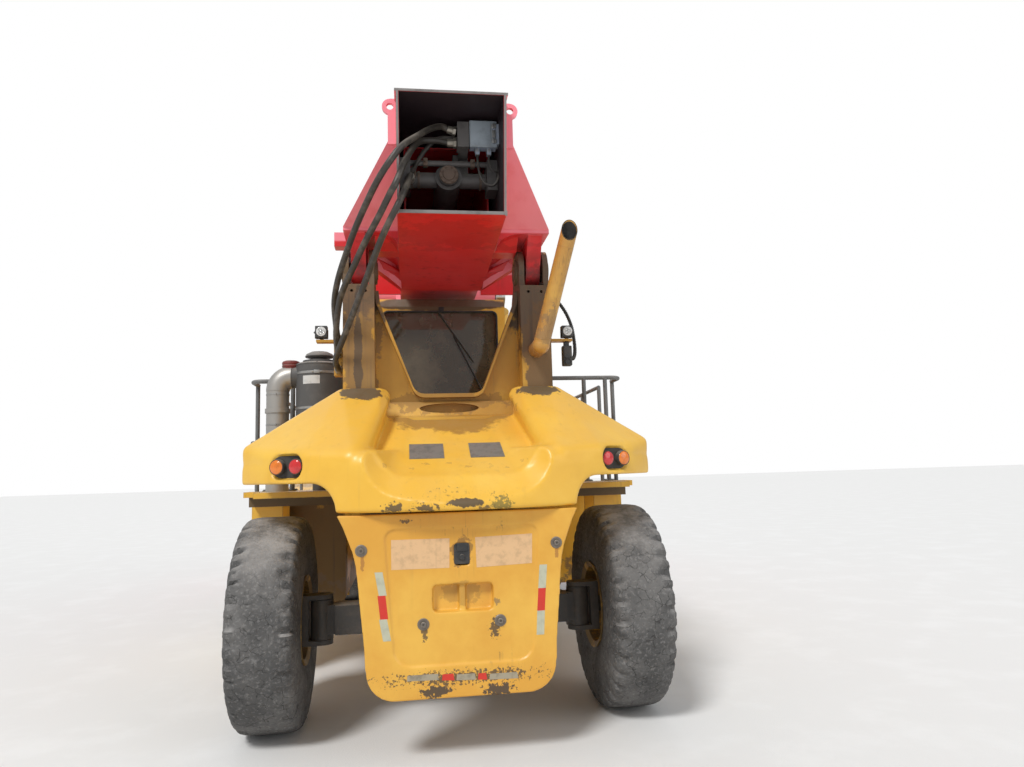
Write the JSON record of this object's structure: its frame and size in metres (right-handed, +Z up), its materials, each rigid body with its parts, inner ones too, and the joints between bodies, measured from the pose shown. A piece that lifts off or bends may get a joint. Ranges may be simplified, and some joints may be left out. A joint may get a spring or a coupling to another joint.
{
  "type": "reach stacker",
  "caption": "Yellow heavy container handler with a wide rear counterweight, a red telescopic boom over the cab and a slewing top spreader.",
  "frame": {"origin": "On the ground under the middle of the whole machine, halfway along its length and width.", "axes": "X points to the machine's right, Y points forward to the spreader, Z points up."},
  "size_m": [6.053, 11.319, 4.66],
  "materials": {
    "yellow_paint": "worn semi-gloss paint, dusty, scuffed at the edges",
    "red_paint": "faded semi-gloss paint",
    "dark_metal": "dark greasy paint",
    "tyre": "dusty worn rubber",
    "glass": "tinted safety glass",
    "grey_metal": "dull grey paint",
    "lamp_lens": "clear coloured lens",
    "steel": "bare machined steel",
    "hose_rubber": "dusty hose cover"
  },
  "bodies": {
    "carrier": {"chassis": "yellow_paint", "counterweight_upper": "yellow_paint", "counterweight_lower": "yellow_paint", "boom_tower": "yellow_paint", "front_axle": "yellow_paint", "rear_axle": "dark_metal", "cab_shell": "yellow_paint", "cab_glass": "glass", "operator_station": "dark_metal", "engine": "dark_metal", "hood": "yellow_paint", "hydraulic_tank": "yellow_paint", "fuel_tank": "yellow_paint", "deck_left": "yellow_paint", "deck_right": "yellow_paint", "railing_left": "grey_metal", "railing_right": "grey_metal", "air_cleaner": "grey_metal", "exhaust_pipe": "grey_metal", "lamps": "lamp_lens", "boom_hoses": "hose_rubber"},
    "boom": {"boom_base": "red_paint", "telescope_cylinder": "grey_metal", "control_box": "grey_metal"},
    "boom_extension": {"boom_inner": "red_paint"},
    "hanger": {"spreader_hanger": "red_paint"},
    "rotator": {"rotator": "red_paint"},
    "spreader": {"spreader_main": "red_paint"},
    "arm_left": {"spreader_arm_left": "red_paint"},
    "arm_right": {"spreader_arm_right": "red_paint"},
    "lock_1": {"twistlock_1": "steel"},
    "lock_2": {"twistlock_2": "steel"},
    "lock_3": {"twistlock_3": "steel"},
    "lock_4": {"twistlock_4": "steel"},
    "barrel_left": {"lift_barrel_left": "yellow_paint"},
    "barrel_right": {"lift_barrel_right": "yellow_paint"},
    "rod_left": {"lift_rod_left": "steel"},
    "rod_right": {"lift_rod_right": "steel"},
    "knuckle_left": {"knuckle_left": "dark_metal"},
    "knuckle_right": {"knuckle_right": "dark_metal"},
    "rear_wheel_left": {"rear_rim_left": "yellow_paint", "rear_tire_left": "tyre"},
    "rear_wheel_right": {"rear_rim_right": "yellow_paint", "rear_tire_right": "tyre"},
    "front_wheel_left": {"front_rims_left": "yellow_paint", "front_tires_left": "tyre"},
    "front_wheel_right": {"front_rims_right": "yellow_paint", "front_tires_right": "tyre"},
    "cab_door": {"cab_door": "yellow_paint", "door_glass": "glass"}
  },
  "joints": [
    {"name": "boom_lift", "type": "hinge", "parent": "carrier", "child": "boom", "pos_m": [0, -4.4595, 3.62], "axis": [1, 0, 0], "range_deg": [0, 58], "deforming": ["boom_hoses"]},
    {"name": "boom_telescope", "type": "slide", "parent": "boom", "child": "boom_extension", "axis": [0, 1, 0], "range_m": [0, 6]},
    {"name": "spreader_level", "type": "hinge", "parent": "boom_extension", "child": "hanger", "pos_m": [0, 4.4405, 3.3], "axis": [1, 0, 0], "range_deg": [-58, 0]},
    {"name": "spreader_slew", "type": "hinge", "parent": "hanger", "child": "rotator", "pos_m": [0, 4.4405, 2.9], "axis": [0, 0, 1], "range_deg": [-95, 185]},
    {"name": "side_shift", "type": "slide", "parent": "rotator", "child": "spreader", "axis": [1, 0, 0], "range_m": [-0.8, 0.8]},
    {"name": "extend_right", "type": "slide", "parent": "spreader", "child": "arm_right", "axis": [1, 0, 0], "range_m": [0, 3.066]},
    {"name": "extend_left", "type": "slide", "parent": "spreader", "child": "arm_left", "axis": [-1, 0, 0], "range_m": [0, 3.066]},
    {"name": "lock_1_turn", "type": "hinge", "parent": "arm_left", "child": "lock_1", "pos_m": [-2.9265, 5.57, 2.2], "axis": [0, 0, 1], "range_deg": [0, 90]},
    {"name": "lock_2_turn", "type": "hinge", "parent": "arm_right", "child": "lock_2", "pos_m": [2.9265, 5.57, 2.2], "axis": [0, 0, 1], "range_deg": [0, 90]},
    {"name": "lock_3_turn", "type": "hinge", "parent": "arm_left", "child": "lock_3", "pos_m": [-2.9265, 3.311, 2.2], "axis": [0, 0, 1], "range_deg": [0, 90]},
    {"name": "lock_4_turn", "type": "hinge", "parent": "arm_right", "child": "lock_4", "pos_m": [2.9265, 3.311, 2.2], "axis": [0, 0, 1], "range_deg": [0, 90]},
    {"name": "lift_barrel_left", "type": "hinge", "parent": "carrier", "child": "barrel_left", "pos_m": [-0.82, 0.9405, 1.2], "axis": [1, 0, 0], "range_deg": [-4, 0]},
    {"name": "lift_rod_left", "type": "slide", "parent": "barrel_left", "child": "rod_left", "axis": [0, -0.6675, 0.7446], "range_m": [0, 2.75]},
    {"name": "lift_barrel_right", "type": "hinge", "parent": "carrier", "child": "barrel_right", "pos_m": [0.82, 0.9405, 1.2], "axis": [1, 0, 0], "range_deg": [-4, 0]},
    {"name": "lift_rod_right", "type": "slide", "parent": "barrel_right", "child": "rod_right", "axis": [0, -0.6675, 0.7446], "range_m": [0, 2.75]},
    {"name": "steer_left", "type": "hinge", "parent": "carrier", "child": "knuckle_left", "pos_m": [-1.03, -4.4595, 0.805], "axis": [0, 0, 1], "range_deg": [-55, 55]},
    {"name": "rear_left_spin", "type": "hinge", "parent": "knuckle_left", "child": "rear_wheel_left", "pos_m": [-1.38, -4.4595, 0.805], "axis": [1, 0, 0], "continuous": true},
    {"name": "front_left_spin", "type": "hinge", "parent": "carrier", "child": "front_wheel_left", "pos_m": [-1.5, 1.5405, 0.805], "axis": [1, 0, 0], "continuous": true},
    {"name": "steer_right", "type": "hinge", "parent": "carrier", "child": "knuckle_right", "pos_m": [1.03, -4.4595, 0.805], "axis": [0, 0, 1], "range_deg": [-55, 55]},
    {"name": "rear_right_spin", "type": "hinge", "parent": "knuckle_right", "child": "rear_wheel_right", "pos_m": [1.38, -4.4595, 0.805], "axis": [1, 0, 0], "continuous": true},
    {"name": "front_right_spin", "type": "hinge", "parent": "carrier", "child": "front_wheel_right", "pos_m": [1.5, 1.5405, 0.805], "axis": [1, 0, 0], "continuous": true},
    {"name": "door_hinge", "type": "hinge", "parent": "carrier", "child": "cab_door", "pos_m": [-0.7, -2.7995, 2.5], "axis": [0, 0, 1], "range_deg": [0, 95]}
  ],
  "couplings": [
    {"joint": "spreader_level", "follows": "boom_lift", "ratio": -1},
    {"joint": "extend_left", "follows": "extend_right", "ratio": 1},
    {"joint": "lock_2_turn", "follows": "lock_1_turn", "ratio": 1},
    {"joint": "lock_3_turn", "follows": "lock_1_turn", "ratio": 1},
    {"joint": "lock_4_turn", "follows": "lock_1_turn", "ratio": 1},
    {"joint": "lift_barrel_left", "follows": "boom_lift", "ratio": -0.06},
    {"joint": "lift_barrel_right", "follows": "boom_lift", "ratio": -0.06},
    {"joint": "lift_rod_left", "follows": "boom_lift", "m_per_rad": 2.6826},
    {"joint": "lift_rod_right", "follows": "boom_lift", "m_per_rad": 2.6826},
    {"joint": "steer_right", "follows": "steer_left", "ratio": 1}
  ]
}
